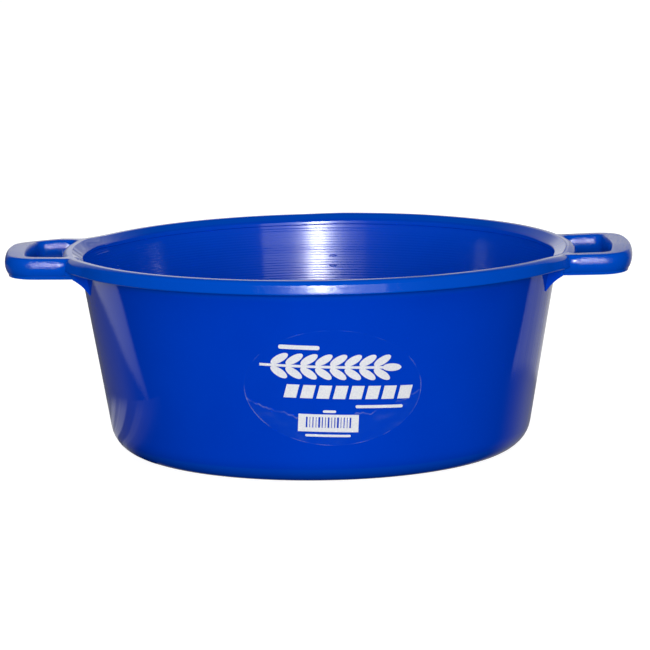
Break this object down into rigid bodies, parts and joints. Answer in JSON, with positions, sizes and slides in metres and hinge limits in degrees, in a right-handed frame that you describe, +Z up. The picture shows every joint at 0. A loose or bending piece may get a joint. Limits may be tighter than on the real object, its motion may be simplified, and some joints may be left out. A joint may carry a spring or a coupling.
{
  "type": "feed bucket",
  "caption": "Low round feed bucket moulded in blue plastic, with a rolled rim, a loop handle at each side and a clear oval label on the front wall.",
  "frame": {"origin": "on the pan's axis, at the plane that it stands on", "axes": "+Z up along the pan's axis, +X through both handles, the label on the -Y side"},
  "size_m": [0.556, 0.4582, 0.179],
  "materials": {
    "pan_plastic": "glossy blue polypropylene, as moulded",
    "label_clear": "clear adhesive film",
    "label_ink": "white print on clear film"
  },
  "bodies": {
    "root": {"base": "pan_plastic", "wall": "pan_plastic", "rim": "pan_plastic", "handle_left": "pan_plastic", "handle_right": "pan_plastic", "gusset_left_front": "pan_plastic", "gusset_left_rear": "pan_plastic", "gusset_right_front": "pan_plastic", "gusset_right_rear": "pan_plastic", "label_film": "label_clear", "label_print": "label_ink"}
  },
  "joints": []
}
